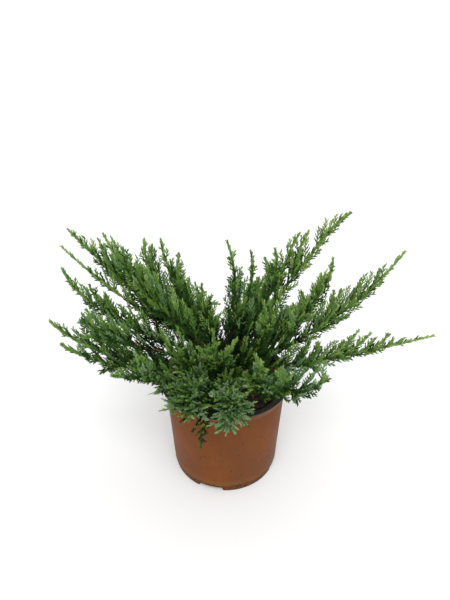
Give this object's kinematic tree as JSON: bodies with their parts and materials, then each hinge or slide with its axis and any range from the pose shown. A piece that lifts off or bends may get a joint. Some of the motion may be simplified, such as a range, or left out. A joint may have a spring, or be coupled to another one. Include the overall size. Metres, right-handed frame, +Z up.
{
  "type": "potted savin juniper shrub",
  "caption": "Low, wide-spreading evergreen conifer with feathery plumes of fine needles on thin brown boughs, planted in a tapered round nursery pot filled with compost.",
  "frame": {"origin": "on the flat underside of the pot, on the pot's axis", "axes": "+Z up, X along the crown's widest spread, -Y towards the side on which the picture was taken"},
  "size_m": [0.513, 0.3559, 0.371],
  "materials": {
    "pot_plastic": "thin moulded plastic, terracotta brown outside and black inside, slightly satin",
    "compost": "dark crumbly compost with small bark chips",
    "bark": "thin flaking red-brown bark, lengthwise fibres",
    "foliage": "short overlapping needles, grey-green with lighter tips"
  },
  "bodies": {
    "root": {"back_left_bough": "bark", "back_left_foliage": "foliage", "back_middle_bough": "bark", "back_middle_foliage": "foliage", "centre_back_foliage": "foliage", "centre_left_foliage": "foliage", "centre_right_foliage": "foliage", "compost": "compost", "front_corner_bough": "bark", "front_corner_foliage": "foliage", "front_hanging_bough": "bark", "front_hanging_foliage": "foliage", "front_left_high_foliage": "foliage", "front_left_low_bough": "bark", "front_left_low_foliage": "foliage", "front_light_foliage": "foliage", "front_right_foliage": "foliage", "front_rim_bough": "bark", "front_rim_foliage": "foliage", "front_slim_foliage": "foliage", "inner_dark_bough": "bark", "inner_dark_foliage": "foliage", "inner_right_foliage": "foliage", "left_blue_bough": "bark", "left_blue_foliage": "foliage", "left_crest_bough": "bark", "left_crest_foliage": "foliage", "left_high_bough": "bark", "left_high_foliage": "foliage", "left_long_bough": "bark", "left_long_foliage": "foliage", "left_low_bough": "bark", "left_low_foliage": "foliage", "left_middle_bough": "bark", "left_middle_foliage": "foliage", "left_under_bough": "bark", "left_under_foliage": "foliage", "pot": "pot_plastic", "rear_crest_bough": "bark", "rear_crest_foliage": "foliage", "rear_left_bough": "bark", "rear_left_foliage": "foliage", "rear_middle_bough": "bark", "rear_middle_foliage": "foliage", "rear_right_bough": "bark", "rear_right_foliage": "foliage", "rear_side_bough": "bark", "rear_side_foliage": "foliage", "right_droop_bough": "bark", "right_droop_foliage": "foliage", "right_high_bough": "bark", "right_high_foliage": "foliage", "right_long_bough": "bark", "right_long_foliage": "foliage", "right_low_bough": "bark", "right_low_foliage": "foliage", "right_middle_bough": "bark", "right_middle_foliage": "foliage", "right_spire_foliage": "foliage", "trunk": "bark"}
  },
  "joints": []
}
